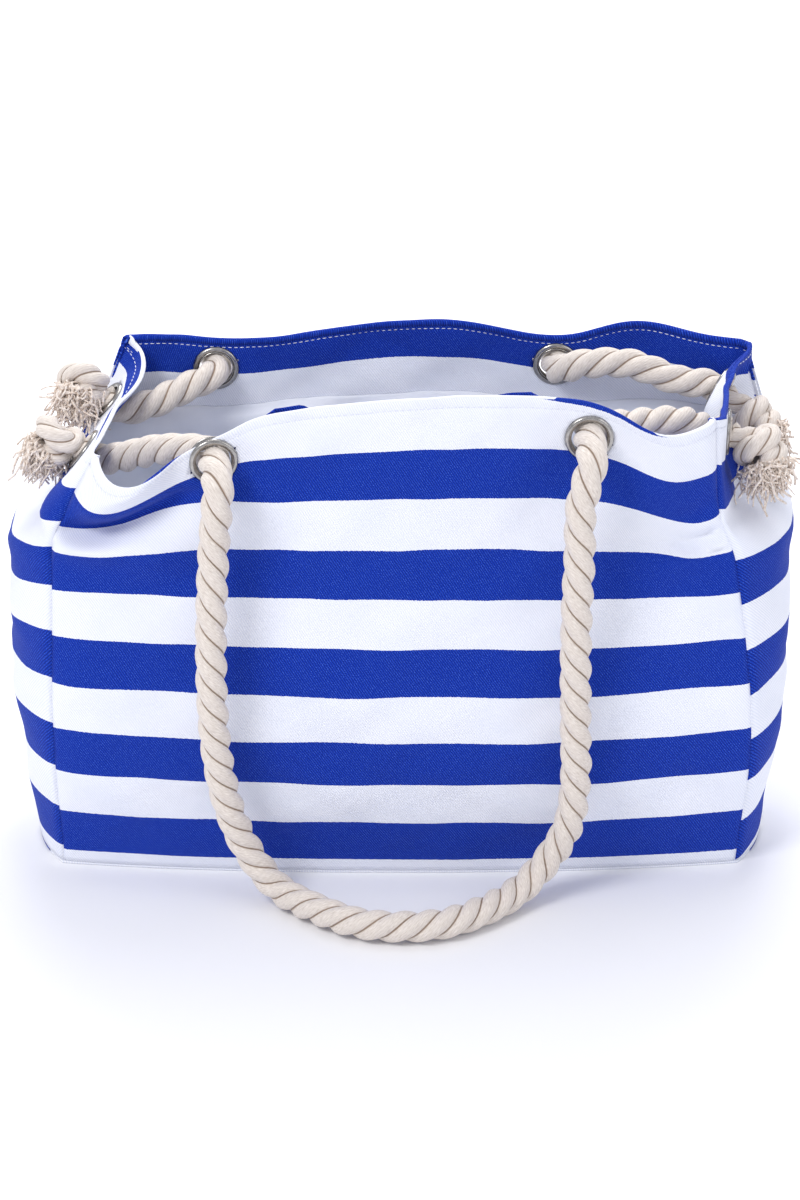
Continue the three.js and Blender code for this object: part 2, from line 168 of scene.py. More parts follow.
# wall, u, level, spread across, spread up, push in mm
BUMPS = [
    ("front", -0.85, 340, 0.16, 28, (0, -19, 0)),
    ("front", -0.86, 340, 0.13, 42, (0, 0, -23)),
    ("front", -0.9, 274, 0.13, 15, (0, 15, -8)),
    ("front", -0.84, 242, 0.2, 11, (0, -6, 0)),
    ("front", -0.62, 273, 0.13, 18, (0, 0, 6)),
    ("front", -0.6, 340, 0.1, 20, (0, 0, -5)),
    ("front", 0.82, 340, 0.12, 45, (0, -6, -16)),
    ("front", 0.93, 266, 0.1, 24, (0, 6, -10)),
    ("right", 0.45, 306, 0.34, 20, (-19, 0, 2)),
    ("right", 0.5, 340, 0.5, 13, (9, 0, 0)),
    ("left", 0.62, 340, 0.3, 14, (14, 0, 2)),
    ("left", -0.75, 288, 0.25, 25, (-6, 0, 0)),
    ("back", -0.5, 340, 0.2, 60, (0, 0, -9)),
    ("back", 0.47, 340, 0.14, 45, (0, 2, -8)),
    ("back", 0.7, 340, 0.1, 45, (0, 2, 8)),
    ("back", 0.15, 340, 0.2, 45, (0, 0, 4)),
]
GROMMETS = {
    "front_left": dict(wall="front", u=-0.57),
    "front_right": dict(wall="front", u=0.56),
    "back_left": dict(wall="back", u=-0.6),
    "back_right": dict(wall="back", u=0.465),
    "side_left_front": dict(wall="left", u=-0.3),
    "side_left_back": dict(wall="left", u=0.5),
    "side_right_front": dict(wall="right", u=-0.34),
    "side_right_back": dict(wall="right", u=0.54),
}
# wall, start and end in mm across and up the cloth, half width and height in mm: the cloth's creases
CREASES = [
    ("front", (-222, 270), (-100, 292), 7, -6.5),
    ("front", (-222, 250), (-95, 268), 11, 4.0),
    ("front", (-205, 302), (-150, 290), 6, 2.5),
    ("front", (-150, 262), (-60, 280), 14, -1.6),
    ("front", (222, 262), (150, 246), 7, -5.0),
    ("front", (222, 243), (135, 226), 10, 3.2),
    ("front", (210, 282), (160, 270), 6, -2.5),
    ("front", (214, 252), (178, 238), 3.2, 4.0),
    ("front", (212, 243), (184, 247), 2.6, -3.4),
    ("front", (210, 262), (184, 254), 3.0, -2.6),
    ("front", (-60, 20), (-95, 190), 34, -1.8),
    ("front", (125, 15), (100, 190), 30, 1.6),
    ("front", (-190, 60), (-205, 190), 16, 2.0),
    ("front", (30, 110), (45, 235), 26, -1.4),
    ("back", (-220, 262), (-120, 270), 9, -4.0),
    ("back", (220, 262), (120, 250), 9, -4.0),
    ("back", (-120, 30), (-150, 200), 30, 2.0),
    ("back", (60, 20), (110, 210), 32, -2.2),
    ("back", (-20, 180), (10, 330), 24, -2.0),
    ("left", (-75, 262), (75, 266), 9, -5.5),
    ("left", (-70, 236), (70, 240), 12, 3.5),
    ("left", (8, 20), (-4, 200), 20, -2.5),
    ("left", (14, 255), (22, 340), 10, -4.0),
    ("right", (-75, 260), (75, 264), 9, -5.5),
    ("right", (-70, 234), (70, 238), 12, 3.5),
    ("right", (-6, 20), (8, 200), 20, -2.5),
    ("right", (10, 250), (4, 340), 10, -4.0),
]


def along_curve(points, level):
    """A smooth curve through the five places of a seam, read at heights along the cloth."""
    points = np.array(points, float)
    i = np.clip(np.searchsorted(LEVELS, level, side="right") - 1, 0, len(LEVELS) - 2)
    before, after = np.clip(i - 1, 0, None), np.clip(i + 2, None, len(LEVELS) - 1)

    def slope(low, high):
        return (points[high] - points[low]) / (LEVELS[high] - LEVELS[low])[..., None]

    h = (LEVELS[i + 1] - LEVELS[i])[..., None]
    f = (level - LEVELS[i])[..., None] / h
    place = points[i] + (points[i + 1] - points[i]) * f * f * (3 - 2 * f)
    place += slope(before, i + 1) * h * f * (1 - f) ** 2
    return place - slope(i, after) * h * f * f * (1 - f)


def creases(side, u, level):
    """How far the creases and the cloth's own unevenness stand out of the wall, in mm."""
    across = u * WALLS[side]["span"] / 2
    height = np.zeros_like(across)
    for wall, start, end, half_width, rise in CREASES:
        if wall != side:
            continue
        line = np.subtract(end, start).astype(float)
        f = ((across - start[0]) * line[0] + (level - start[1]) * line[1]) / (line @ line)
        held = np.clip(f, 0, 1)
        away = np.hypot(across - start[0] - held * line[0], level - start[1] - held * line[1])
        lies_across = abs(line[0]) > abs(line[1]) and side in ("front", "back")
        fade = np.clip(1.15 - 0.9 * f, 0, 1) if lies_across else 1
        height += rise * fade * np.exp(-(away / half_width) ** 2 / 2)
    seed = {"front": 0.3, "back": 1.7, "left": 2.9, "right": 4.1}[side]
    for k, (wide, tall, rise) in enumerate([(150, 90, 1.1), (83, 61, 0.8), (47, 71, 0.45), (31, 23, 0.22)]):
        turn = seed + 1.3 * k
        height += rise * np.sin(across / wide * 6.28 + turn + 0.8 * np.sin(level / tall * 4 + turn)) \
            * np.sin(level / tall * 6.28 + 2 * turn)
    foot = np.clip(level / 40, 0, 1)
    from_seam = (1 - np.abs(u)) * WALLS[side]["span"] / 2
    return height * foot * (1 - np.exp(-(from_seam / 8) ** 2))


def wall_points(side, u, level, depth=0.0, folds=True):
    """Points of a wall at u across and level mm up the cloth, depth mm in from the outside."""
    u, level = np.broadcast_arrays(np.asarray(u, float), np.asarray(level, float))
    wall = WALLS[side]
    start = along_curve(SEAMS[wall["seams"][0]], level)
    end = along_curve(SEAMS[wall["seams"][1]], level)
    place = start + (end - start) * ((u + 1) / 2)[..., None]
    bulge = along_curve(MIDDLES[side], level) - (start + end) / 2
    place = place + bulge * (1 - np.abs(u) ** MIDDLE_SHAPE)[..., None]
    for name, at_u, at_level, wide, tall, push in BUMPS:
        if name == side:
            reach = ((u - at_u) / wide) ** 2 + ((level - at_level) / tall) ** 2
            place = place + (np.exp(-reach / 2) * (1 - np.abs(u) ** 16))[..., None] * np.array(push, float)
    for end, seam in zip((-1, 1), wall["seams"]):
        rounding = CORNER_ROUND[seam] * np.clip((level - 225) / 60, 0, 1)
        near = np.clip(1 - (1 - end * u) * wall["span"] / 2 / np.maximum(rounding, 0.01), 0, 1)
        centre = -np.sign(np.array([SEAMS[seam][0][0], SEAMS[seam][0][1], 0])) / math.sqrt(2)
        place = place + ((math.sqrt(2) - 1) * rounding * near ** 2)[..., None] * centre
    inward = np.array(wall["inward"], float)
    if folds:
        place = place - inward * creases(side, u, level)[..., None]
        at_seam = np.exp(-((1 - np.abs(u)) * wall["span"] / 2 / 2.6) ** 2)
        place = place + inward * (1.5 * at_seam)[..., None]
    for grommet in GROMMETS.values():
        if grommet["wall"] == side and "out" in grommet:
            away = place - grommet["centre"]
            f = np.clip(np.linalg.norm(away, axis=-1) / 17 - 1, 0, 1)
            flat = 1 - f * f * (3 - 2 * f)
            place = place - grommet["out"] * ((away @ grommet["out"]) * flat)[..., None]
    depth = np.asarray(depth, float)
    place = place + inward * (depth * np.ones_like(u))[..., None]
    place[..., wall["along"]] -= np.sign(u) * np.abs(u) ** MIDDLE_SHAPE * depth
    return place


for grommet in GROMMETS.values():
    side, u = grommet["wall"], grommet["u"]
    reach_u = 2 * FLANGE_RADIUS / WALLS[side]["span"]
    ends = wall_points(side, [u - reach_u, u + reach_u], GROMMET_LEVEL, folds=False)
    tops = wall_points(side, u, [GROMMET_LEVEL - FLANGE_RADIUS, GROMMET_LEVEL + FLANGE_RADIUS], folds=False)
    out = np.cross(ends[1] - ends[0], tops[1] - tops[0])
    out /= np.linalg.norm(out)
    if out @ np.array(WALLS[side]["inward"]) > 0:
        out = -out
    centre = wall_points(side, u, GROMMET_LEVEL, folds=False)
    grommet.update(centre=centre, out=out)
print("front left grommet at", GROMMETS["front_left"]["centre"].round(1), "mm")

# %% [markdown]
# ## The two ropes
# Each rope is one length of three-strand cotton rope. It runs from its knot outside the left
# gusset, through that grommet and the panel's grommet, hangs as the handle, and goes back the
# same way on the right. Three strands wound round one line give the real grooves and outline.


# %% Rope routes
def on_axis(name, distance):
    grommet = GROMMETS[name]
    return tuple(grommet["centre"] + grommet["out"] * distance)


FLOOR = 11.2
HANGING = [
    (-113, -113, 243), (-115, -117, 209), (-116, -119, 176), (-116, -120, 141), (-114, -119, 106),
    (-108, -117, 70), (-97, -115, 38), (-78, -121, FLOOR + 2), (-52, -145, FLOOR), (-27, -162, FLOOR),
    (0, -167, FLOOR), (27, -163, FLOOR), (52, -147, FLOOR), (76, -124, FLOOR + 2), (94, -115, 30),
    (106, -116, 54), (110, -118, 86), (109, -119, 128), (108, -119, 176), (108, -118, 210),
    (109, -116, 243), (109, -113, 270),
]
KNOT_OUT = 3
ROPES = {
    "front": dict(inside_left=[(-174, -30, 271), (-148, -50, 284)],
                  inside_right=[(146, -50, 301), (174, -38, 298)], loop=HANGING),
    "back": dict(inside_left=[(-163, 44, 278), (-141, 52, 286)],
                 inside_right=[(120, 56, 302), (150, 50, 304), (179, 44, 295)],
                  loop=[(x, -y, z) for x, y, z in HANGING]),
}


def rope_route(which):
    """The rope's route in mm, from the left knot's face to the right knot's face."""
    rope = ROPES[which]
    left, right = f"side_left_{which}", f"side_right_{which}"
    panel_left, panel_right = f"{which}_left", f"{which}_right"
    bend_left = np.array(on_axis(panel_left, 24)) - (0, 0, 5)
    bend_right = np.array(on_axis(panel_right, 24)) - (0, 0, 5)
    return [
        on_axis(left, KNOT_OUT), on_axis(left, -5), on_axis(left, -10), *rope["inside_left"],
        on_axis(panel_left, -12), on_axis(panel_left, -5), on_axis(panel_left, 8), tuple(bend_left),
        *rope["loop"],
        tuple(bend_right), on_axis(panel_right, 8), on_axis(panel_right, -5), on_axis(panel_right, -12),
        *rope["inside_right"], on_axis(right, -10), on_axis(right, -5), on_axis(right, KNOT_OUT),
    ]


def smooth_line(points, step):
    """A smooth line through the points, as places one step apart."""
    points = np.array(points, float)
    ends = np.vstack([2 * points[0] - points[1], points, 2 * points[-1] - points[-2]])
    fine = []
    for p0, p1, p2, p3 in zip(ends, ends[1:], ends[2:], ends[3:]):
        t1 = np.linalg.norm(p1 - p0) ** 0.5
        t2 = t1 + np.linalg.norm(p2 - p1) ** 0.5
        t3 = t2 + np.linalg.norm(p3 - p2) ** 0.5
        for t in np.linspace(t1, t2, 12, endpoint=False):
            a1 = p0 + (p1 - p0) * t / t1
            a2 = p1 + (p2 - p1) * (t - t1) / (t2 - t1)
            a3 = p2 + (p3 - p2) * (t - t2) / (t3 - t2)
            b1 = a1 + (a2 - a1) * t / t2
            b2 = a2 + (a3 - a2) * (t - t1) / (t3 - t1)
            fine.append(b1 + (b2 - b1) * (t - t1) / (t2 - t1))
    fine.append(points[-1])
    fine = np.array(fine)
    run = np.concatenate([[0], np.cumsum(np.linalg.norm(np.diff(fine, axis=0), axis=1))])
    count = max(int(round(run[-1] / step)), 2)
    at = np.linspace(0, run[-1], count + 1)
    even = np.stack([np.interp(at, run, fine[:, k]) for k in range(3)], axis=1)
    for _ in range(6):
        even[1:-1] = (even[:-2] + 2 * even[1:-1] + even[2:]) / 4
    return even


def carried_frames(line):
    """A tangent and two side directions at each place, carried along without twisting."""
    tangents = np.gradient(line, axis=0)
    tangents /= np.linalg.norm(tangents, axis=1)[:, None]
    side = np.cross(tangents[0], (0, 0, 1) if abs(tangents[0][2]) < 0.9 else (1, 0, 0))
    sides = []
    for tangent in tangents:
        side = side - tangent * (side @ tangent)
        side = side / np.linalg.norm(side)
        sides.append(side)
    sides = np.array(sides)
    return tangents, sides, np.cross(tangents, sides)


def new_mesh(name, points_mm, faces, uvs=None):
    """A mesh object at the origin from places in mm. uvs holds one pair for each place."""
    mesh = bpy.data.meshes.new(name)
    mesh.from_pydata((np.asarray(points_mm) * MM).tolist(), [], faces)
    if uvs is not None:
        layer = mesh.uv_layers.new(name="cloth")
        corner_points = np.empty(len(mesh.loops), int)
        mesh.loops.foreach_get("vertex_index", corner_points)
        layer.data.foreach_set("uv", np.asarray(uvs, float)[corner_points].ravel())
    mesh.polygons.foreach_set("use_smooth", [True] * len(mesh.polygons))
    piece = bpy.data.objects.new(name, mesh)
    bpy.context.scene.collection.objects.link(piece)
    return piece


# %% Twisted strands
LAY_LENGTH = 49.0
# angles round one strand, close together where it shows and wide apart where its neighbours hide it
STRAND_TURNS = np.radians([-180, -128, -96, -76, -56, -37, -18, 0, 18, 37, 56, 76, 96, 128])
STRAND_SIDES = len(STRAND_TURNS)
STRAND_OFF, STRAND_SIZE = 0.37, 0.63  # a strand's middle and radius, as parts of the rope's radius


def strand_mesh(line, rope_radius, lay=LAY_LENGTH):
    """Places, faces and uvs of three strands wound round a line, in mm."""
    tangents, sides, others = carried_frames(line)
    run = np.concatenate([[0], np.cumsum(np.linalg.norm(np.diff(line, axis=0), axis=1))])
    out_by = STRAND_SIZE * rope_radius * np.cos(STRAND_TURNS)
    aside_by = STRAND_SIZE * rope_radius * np.sin(STRAND_TURNS)
    turn_part = STRAND_TURNS / (2 * math.pi) + 0.5
    points, faces, uvs = [], [], []
    for strand in range(3):
        angle = strand * 2 * math.pi / 3 - run / lay * 2 * math.pi
        radial = sides * np.cos(angle)[:, None] + others * np.sin(angle)[:, None]
        sideways = np.cross(tangents, radial)
        middle = line + radial * STRAND_OFF * rope_radius
        ring = middle[:, None] + radial[:, None] * out_by[:, None] + sideways[:, None] * aside_by[:, None]
        base = len(points)
        points.extend(ring.reshape(-1, 3))
        uvs.extend((part, s * MM) for s in run for part in turn_part)
        for i in range(len(line) - 1):
            for j in range(STRAND_SIDES):
                a, b = base + i * STRAND_SIDES + j, base + i * STRAND_SIDES + (j + 1) % STRAND_SIDES
                faces.append((a, b, b + STRAND_SIDES, a + STRAND_SIDES))
        last = base + (len(line) - 1) * STRAND_SIDES
        faces.append(tuple(base + j for j in reversed(range(STRAND_SIDES))))
        faces.append(tuple(last + j for j in range(STRAND_SIDES)))
    return points, faces, uvs


ROPE_RADIUS = 10.0
ropes = {}
for which in ("front", "back"):
    line = smooth_line(rope_route(which), 2.5)
    length = np.linalg.norm(np.diff(line, axis=0), axis=1).sum() * MM
    ropes[which] = (new_mesh(f"{which}_rope", *strand_mesh(line, ROPE_RADIUS)), line, length)
    print(which, "rope:", round(length, 3), "m,", len(ropes[which][0].data.polygons), "faces")

# %% [markdown]
# ## Knots and frayed ends
# A stopper knot keeps the rope from pulling back through the gusset. Here the rope goes once and
# a quarter round itself and leaves through the middle, which is what an overhand knot shows from
# outside. Beyond it the strands are unlaid into loose yarns, each a thin curved thread.

# %% Knots
# for each knot: how far out and how far down its middle sits in mm, and which way its end hangs
KNOTS = {
    "front_left": dict(out=22, sag=7, droop=(-0.7, 0, -0.71)),
    "back_left": dict(out=22, sag=5, droop=(-0.35, -0.75, -0.56)),
    "front_right": dict(out=22, sag=12, droop=(0.3, -0.4, -0.87)),
    "back_right": dict(out=26, sag=9, droop=(0.5, -0.6, -0.62)),
}
knots, frays = {}, {}
rng = np.random.default_rng(7)


def knot_line(start, middle, axis):
    """The rope's turn round itself inside a knot, in mm."""
    side = np.cross(axis, (0, 1, 0))
    side /= np.linalg.norm(side)
    other = np.cross(axis, side)
    route = [start, start + (middle - start) * 0.35]
    for f in np.linspace(0, 1, 15):
        turn = math.radians(-40 + 470 * f)
        radius = 8.5 + 2.5 * math.sin(math.pi * f)
        spoke = side * math.cos(turn) + other * math.sin(turn)
        route.append(middle + axis * (-9 + 15 * f) + radius * spoke)
    route.append(middle + axis * 11 + side * 3)
    route.append(middle + axis * 17)
    return route


def frayed_yarns(origin, axis, count, length):
    """Loose yarns that spread and curl back from the end of the rope, as thin tubes in mm."""
    side = np.cross(axis, (0, 1, 0))
    side /= np.linalg.norm(side)
    other = np.cross(axis, side)
    points, faces, uvs = [], [], []
    ring = np.arange(4) / 4 * 2 * math.pi
    t = np.linspace(0, 1, 9)[:, None]
    for _ in range(count):
        angle = rng.uniform(0, 2 * math.pi)
        spread = math.sqrt(rng.uniform(0, 1))
        outward = side * math.cos(angle) + other * math.sin(angle)
        start = origin + outward * 9.5 * spread
        heading = axis * (1.0 - 0.8 * spread ** 2) + outward * (0.1 + 1.0 * spread) + rng.normal(0, 0.16, 3)
        heading /= np.linalg.norm(heading)
        reach = length * rng.uniform(0.62, 1.05)
        curl = -outward * 0.8 * spread - heading * 0.5 + np.array((0, 0, -0.3)) + rng.normal(0, 0.4, 3)
        wave, phase = rng.normal(0, 1.1, 3), rng.uniform(0, 6.28)
        line = start + heading * reach * t + curl * reach * t ** 2.4 * 0.8 + wave * np.sin(t * 9 + phase) * t
        tangents, sides, others = carried_frames(line)
        thick = rng.uniform(0.7, 1.1)
        base = len(points)
        for k, place in enumerate(line):
            radius = thick * (1 - 0.3 * k / 8)
            points.extend(place + radius * (sides[k] * math.cos(a) + others[k] * math.sin(a)) for a in ring)
            uvs.extend((0.5, k * 0.004) for a in ring)
        for k in range(8):
            for j in range(4):
                a, b = base + 4 * k + j, base + 4 * k + (j + 1) % 4
                faces.append((a, b, b + 4, a + 4))
        faces.append(tuple(base + j for j in reversed(range(4))))
        faces.append(tuple(base + 32 + j for j in range(4)))
    return points, faces, uvs


for which in ("front", "back"):
    for hand in ("left", "right"):
        knot = KNOTS[f"{which}_{hand}"]
        grommet = f"side_{hand}_{which}"
        axis = np.array(knot["droop"])
        axis = axis / np.linalg.norm(axis)
        start = np.array(on_axis(grommet, KNOT_OUT - 1))
        middle = np.array(on_axis(grommet, knot["out"])) - (0, 0, knot["sag"])
        line = smooth_line(knot_line(start, middle, axis), 2.0)
        name = f"{which}_{hand}"
        knots[name] = new_mesh(f"stopper_knot_{name}", *strand_mesh(line, 7.6, lay=40))
        frays[name] = new_mesh(f"loose_yarns_{name}", *frayed_yarns(middle + axis * 7, axis, 480, 21))
print("knots:", len(knots), "and", sum(len(f.data.polygons) for f in frays.values()), "faces of yarn")

# %% Hide the CAD cords, and hang the knots and yarns on the bag
# The front rope still cuts into its left grommet when it is fully raised.
for which in ("front", "back"):
    piece, line, length = ropes[which]
    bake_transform(piece)
    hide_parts(f"{which}_rope_left", f"{which}_rope_right", f"{which}_handle_loop")
    for hand in ("left", "right"):
        name = f"{which}_{hand}"
        for part, node in ((knots[name], f"knot_{name}"), (frays[name], f"frayed_end_{name}")):
            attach(part, "bag")
            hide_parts(node)

# %% [markdown]
# ## Canvas walls
# The walls are cut from yarn-dyed striped canvas. Each is a sheet that follows the wall surface,
# with finer rows near the rim where it is turned over and stitched, and it is given its thickness
# inwards. The holes for the grommets are cut to a clean circle that the metal covers.


# %% Sheets of cloth
def level_rows(low, high):
    """Heights along the cloth: 4 mm apart, and closer by the rim."""
    rows = list(np.arange(low, min(high, RIM - 14), 4.0))
    if high > RIM - 14:
        rows += list(np.linspace(RIM - 14, high, 10))
    else:
        rows.append(high)
    return np.array(rows)


def rim_roll(level):
    """How far the stitched rim draws in at its line of stitches, in mm."""
    return 0.55 * np.exp(-((level - (RIM - 6)) / 1.3) ** 2)


HEM_TURN = [(0.7, 0.5), (1.0, 1.7), (0.7, 2.9), (-0.5, 3.6), (-3.4, 3.7)]
# where the fold of each hem falls on the stripes, as a height in mm: 325 is on white, 355 on blue
HEM_FOLD = {"front": 325.0, "left": 325.0, "right": 355.0, "back": 361.0}


def off_stripe(u):
    """1 where the front was cut a hair off its stripe, right of the grommet, and 0 elsewhere."""
    return np.exp(-((u - 0.62) / 0.175) ** 4)


def offset_grid(side, uu, ll, move):
    """A grid of wall points moved in along the cloth's own normal, and straight in by the seams."""
    straight = wall_points(side, uu, ll, move)
    outside = wall_points(side, uu, ll)
    normal = np.cross(np.gradient(outside, axis=1), np.gradient(outside, axis=0))
    normal /= np.linalg.norm(normal, axis=-1)[..., None]
    normal *= np.sign(normal @ np.array(WALLS[side]["inward"], float))[..., None]
    from_seam = (1 - np.abs(uu)) * WALLS[side]["span"] / 2
    free = smooth_step(from_seam, 3, 16)[..., None]
    return straight * (1 - free) + (outside + normal * move[..., None]) * free


def smooth_step(value, low, high):
    f = np.clip((value - low) / (high - low), 0, 1)
    return f * f * (3 - 2 * f)


def cloth_sheet(name, side, low, high, depth, thickness, rise=lambda u, level: level,
                u_range=(-1, 1), cell=4.0,
                wave=None, hem=(), lower=None):
    """A sheet of cloth on a wall. rise gives its stripes' height, and wave moves it inwards.
    hem turns its top edge over: each row is so far above the top and so far in. lower brings
    the sheet down by so many mm."""
    span = WALLS[side]["span"]
    gap = 0.25 / span * 2
    columns = max(int(span * (u_range[1] - u_range[0]) / 2 / cell), 4)
    u = np.linspace(u_range[0] + gap, u_range[1] - gap, columns + 1)
    level = level_rows(low, high)
    uu, ll = np.meshgrid(u, level)
    move = depth + rim_roll(ll) * (1 if depth == 0 else -0.6)
    if wave is not None:
        move = move + wave(uu, ll)
    stripe_height = rise(uu, ll)
    if lower is not None:
        ll = ll - lower(uu, ll)
    fold = HEM_FOLD[side] + 30 * off_stripe(u) * (side == "front")
    for up, inwards in hem:
        uu = np.vstack([uu, u])
        ll = np.vstack([ll, np.full_like(u, high + up)])
        move = np.vstack([move, np.full_like(u, inwards)])
        level = np.append(level, high)
        stripe_height = np.vstack([stripe_height, fold - inwards])
    if hem or lower is not None:
        points = wall_points(side, uu, ll, move).reshape(-1, 3)
    else:
        points = offset_grid(side, uu, ll, move).reshape(-1, 3)
    uvs = np.stack([uu * span / 2 * MM, stripe_height * MM], axis=-1).reshape(-1, 2)
    across, rows = columns + 1, len(level)
    grid = np.arange(across * rows).reshape(rows, across)
    quads = np.stack([grid[:-1, :-1], grid[:-1, 1:], grid[1:, 1:], grid[1:, :-1]], axis=-1).reshape(-1, 4)
    if side in ("back", "left"):
        quads = quads[:, ::-1]
    holes = [g for g in GROMMETS.values() if g["wall"] == side and low < GROMMET_LEVEL < high]
    keep = np.ones(len(points), bool)
    for grommet in holes:
        away = points - grommet["centre"]
        flat = away - np.outer(away @ grommet["out"], grommet["out"])
        distance = np.linalg.norm(flat, axis=1)
        keep &= distance > 11.2
        near = (distance > 11.2) & (distance < 14.2)
        points[near] += flat[near] / distance[near, None] * (12.6 - distance[near, None]) * \
            (distance[near, None] < 12.9)
    quads = [tuple(q) for q in quads if keep[q].all()]
    used = np.unique(np.array(quads))
    renumber = -np.ones(len(points), int)
    renumber[used] = np.arange(len(used))
    piece = new_mesh(name, points[used], [tuple(int(renumber[i]) for i in q) for q in quads], uvs[used])
    solid = piece.modifiers.new("thickness", "SOLIDIFY")
    solid.thickness = thickness * MM
    solid.offset = -1
    apply_modifiers(piece)
    return piece


def apply_modifiers(piece):
    bpy.ops.object.select_all(action="DESELECT")
    piece.select_set(True)
    bpy.context.view_layer.objects.active = piece
    for modifier in list(piece.modifiers):
        bpy.ops.object.modifier_apply(modifier=modifier.name)


def front_rise(u, level):
    """Off its stripe, the front shows a thin blue line along the rim."""
    return level + 2.4 * off_stripe(u) * smooth_step(level, 300, RIM) - 0.9 * smooth_step(level, 334, RIM)


def left_rise(u, level):
    return level * (1 + 0.056 * (u + 1) / 2) - 3.5


def right_rise(u, level):
    """The gussets' stripes climb towards the back, and the right one's start lower at the front."""
    low_start = 11 * (1 - smooth_step(level, 236, 276)) * np.exp(-(u + 1) / 0.45)
    return level * (1 + 0.08 * (u + 1) / 2) + low_start - 2


def back_rise(u, level):
    return level * 361 / 340


PANEL_RISE = {"front": front_rise, "back": back_rise, "left": left_rise, "right": right_rise}
PANEL_NAMES = {"front": "front_panel", "back": "back_panel", "left": "left_gusset", "right": "right_gusset"}
SIDES = ("front", "back", "left", "right")
cloth = {}
for side in SIDES:
    node = PANEL_NAMES[side]
    piece = cloth_sheet(f"{node}_canvas", side, 0, RIM, 0, 1.2, PANEL_RISE[side], hem=HEM_TURN)
    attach(piece, "bag")
    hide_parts(node)
    cloth[node] = piece
    print(piece.name, len(piece.data.polygons), "faces")

# %% [markdown]
# ## Facing, lining and pocket
# A band of the same canvas faces the rim inside, blue above white. Below it hangs a thin plain
# lining, cut a little large so that it never pulls on the canvas, which is why it puckers.

# %% Facing and lining
FACING_FOOT = 280
FACING_BLUE = {"front": 28, "back": 28, "left": 28, "right": 6}  # width of its blue, in mm


def lining_wave(u, level):
    """The slack of the lining, which stands off the canvas in soft upright puckers."""
    slack = np.sin(np.clip(level / FACING_FOOT, 0, 1) * math.pi) ** 0.35
    ripple = np.sin(u * 17 + np.sin(level / 37)) + 0.6 * np.sin(u * 31 + level / 29)
    ripple = ripple + 2.4 * np.abs(np.sin(u * 8 + level / 24)) + 2.0 * np.abs(np.sin(u * 13 - level / 33 + 1))
    ripple = ripple + 1.6 * np.abs(np.sin(u * 5 + level / 19 + 2)) * smooth_step(level, 200, 250)
    return slack * (2.4 + 2.0 * ripple) * np.clip((1 - np.abs(u)) * 12, 0, 1)


for side in SIDES:
    facing = cloth_sheet(f"{side}_facing_canvas", side, FACING_FOOT, RIM - 1.6, 1.7, 1.4,
                         lambda u, level: level + FACING_BLUE[side])
    lining = cloth_sheet(f"{side}_lining_cloth", side, 0, FACING_FOOT + 3, 3.4, 0.5, wave=lining_wave)
    for piece, node, kind in ((facing, f"{side}_facing", "rim_facing"),
                              (lining, f"{side}_lining", "lining_cloth")):
        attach(piece, "bag")
        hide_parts(node)
        cloth[node] = piece
    rim_ends = wall_points(side, np.array([-1.0, 1.0]), np.full(2, RIM), folds=False)
print("facing and lining are in")


def foot_outline(depth):
    """The ring of the walls' feet, seen from above, in mm."""
    ring = []
    for side, step in (("front", 1), ("right", 1), ("back", -1), ("left", -1)):
        count = 60 if side in ("front", "back") else 24
        u = np.linspace(-1, 1, count, endpoint=False) * step
        ring.append(wall_points(side, u, np.zeros(count), depth, folds=False)[:, :2])
    return np.vstack(ring)


BASE_STRIPE = -6.5  # so that a white stripe runs down the middle of the base


def floor_cloth(name, depth, height, thickness, ripple):
    """A flat cloth that fills the ring of the walls' feet, made of rings that shrink inwards."""
    outline = foot_outline(depth)
    rings, count = 26, len(outline)
    points, faces, uvs = [], [], []
    for k in range(rings):
        f = 1 - k / rings
        for x, y in outline * f:
            points.append((x, y, height + ripple(x, y) * min(1, k / 3)))
            uvs.append((x * MM, (y + BASE_STRIPE) * MM))
    points.append((0, 0, height + ripple(0, 0)))
    uvs.append((0, BASE_STRIPE * MM))
    for k in range(rings - 1):
        for j in range(count):
            a, b = k * count + j, k * count + (j + 1) % count
            faces.append((a, b, b + count, a + count))
    last = (rings - 1) * count
    faces.extend((last + j, last + (j + 1) % count, len(points) - 1) for j in range(count))
    piece = new_mesh(name, points, faces, uvs)
    solid = piece.modifiers.new("thickness", "SOLIDIFY")
    solid.thickness = thickness * MM
    solid.offset = -1
    apply_modifiers(piece)
    return piece


def no_ripple(x, y):
    return 0.0


def lining_ripple(x, y):
    return 1.2 + 1.2 * math.sin(x / 23 + math.sin(y / 19)) * math.cos(y / 27 + x / 61)


base = floor_cloth("base_canvas", 0.3, 1.7, 1.6, no_ripple)
base_inside = floor_cloth("base_lining_cloth", 3.6, 2.9, 0.5, lining_ripple)
for piece, node, kind in ((base, "base_panel", "striped_canvas"),
                          (base_inside, "base_lining", "lining_cloth")):
    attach(piece, "bag")
    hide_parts(node)
    cloth[node] = piece
print("base:", len(base.data.polygons), "faces")

# %% Slip pocket
POCKET_FOOT, POCKET_TOP = 210, 338
POCKET_U = (-0.43, 0.41)


def pocket_gape(u, level):
    """The pocket hangs open at its top and closes to the lining at its foot and ends."""
    across = np.clip((u - POCKET_U[0]) / (POCKET_U[1] - POCKET_U[0]), 0, 1)
    up = np.clip((level - POCKET_FOOT) / (POCKET_TOP - POCKET_FOOT), 0, 1)
    return 18 * (1 - np.abs(2 * across - 1) ** 20) * up ** 0.8 + 0.8 * np.sin(u * 23 + level / 17)


